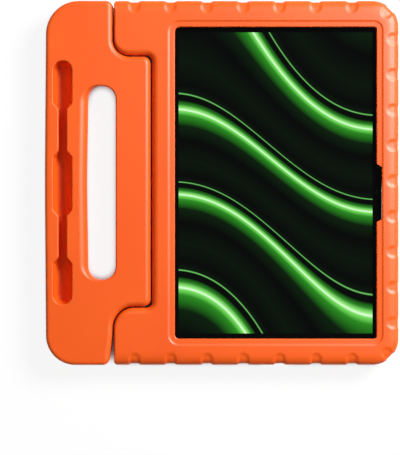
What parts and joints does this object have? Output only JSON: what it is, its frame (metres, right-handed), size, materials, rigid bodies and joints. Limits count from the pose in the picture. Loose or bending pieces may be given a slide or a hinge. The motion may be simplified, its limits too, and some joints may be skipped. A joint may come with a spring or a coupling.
{
  "type": "kids tablet case",
  "caption": "Thick orange foam tablet case for children, with a fold-back carrying handle that holds a stylus, shown with a slab tablet in it.",
  "frame": {"origin": "middle of the footprint of the case with its handle straight out, on the plane of the back pads that it lies on", "axes": "+Z out of the screen, +X across the screen away from the handle, +Y up the screen along the handle and the hinge"},
  "size_m": [0.2771, 0.2852, 0.023],
  "materials": {
    "foam": "matte closed-cell foam, bright orange",
    "pin_steel": "plain turned steel",
    "bush_nylon": "natural nylon",
    "tablet_metal": "dark anodised",
    "screen_glass": "clear cover glass with a black border behind it",
    "display": "lit display panel behind the glass",
    "cell_foil": "pouch cell in a grey foil",
    "circuit_board": "bare board, stands for board and chips",
    "lens_plate": "grey anodised plate",
    "lens_glass": "black glass",
    "black_plastic": "black"
  },
  "bodies": {
    "case": {"case_shell": "foam", "hinge_pin_top": "pin_steel", "hinge_pin_bottom": "pin_steel", "tablet_housing": "tablet_metal", "cover_glass": "screen_glass", "display_panel": "display", "battery_cell_left": "cell_foil", "battery_cell_right": "cell_foil", "logic_board": "circuit_board", "rear_lens_plate": "lens_plate", "rear_lens": "lens_glass", "rear_sensor": "lens_glass", "rear_lens_module": "black_plastic", "front_camera": "black_plastic", "switch_strip": "circuit_board", "stylus_charge_strip": "black_plastic", "usb_receptacle": "pin_steel", "speaker_bottom_left": "black_plastic", "speaker_bottom_right": "black_plastic", "speaker_top_left": "black_plastic", "speaker_top_right": "black_plastic"},
    "handle": {"handle": "foam", "handle_bush_top": "bush_nylon", "handle_bush_bottom": "bush_nylon"},
    "power_key": {"power_button": "tablet_metal"},
    "volume_up_key": {"volume_up_button": "tablet_metal"},
    "volume_down_key": {"volume_down_button": "tablet_metal"}
  },
  "joints": [
    {"name": "handle_hinge", "type": "hinge", "parent": "case", "child": "handle", "pos_m": [-0.0695, 0, 0.0095], "axis": [0, -1, 0], "range_deg": [0, 110]},
    {"name": "power_key_press", "type": "slide", "parent": "case", "child": "power_key", "axis": [-1, 0, 0], "range_m": [0, 0.0004], "stiffness_N_per_m": 4000},
    {"name": "volume_up_key_press", "type": "slide", "parent": "case", "child": "volume_up_key", "axis": [-1, 0, 0], "range_m": [0, 0.0004], "stiffness_N_per_m": 4000},
    {"name": "volume_down_key_press", "type": "slide", "parent": "case", "child": "volume_down_key", "axis": [-1, 0, 0], "range_m": [0, 0.0004], "stiffness_N_per_m": 4000}
  ]
}
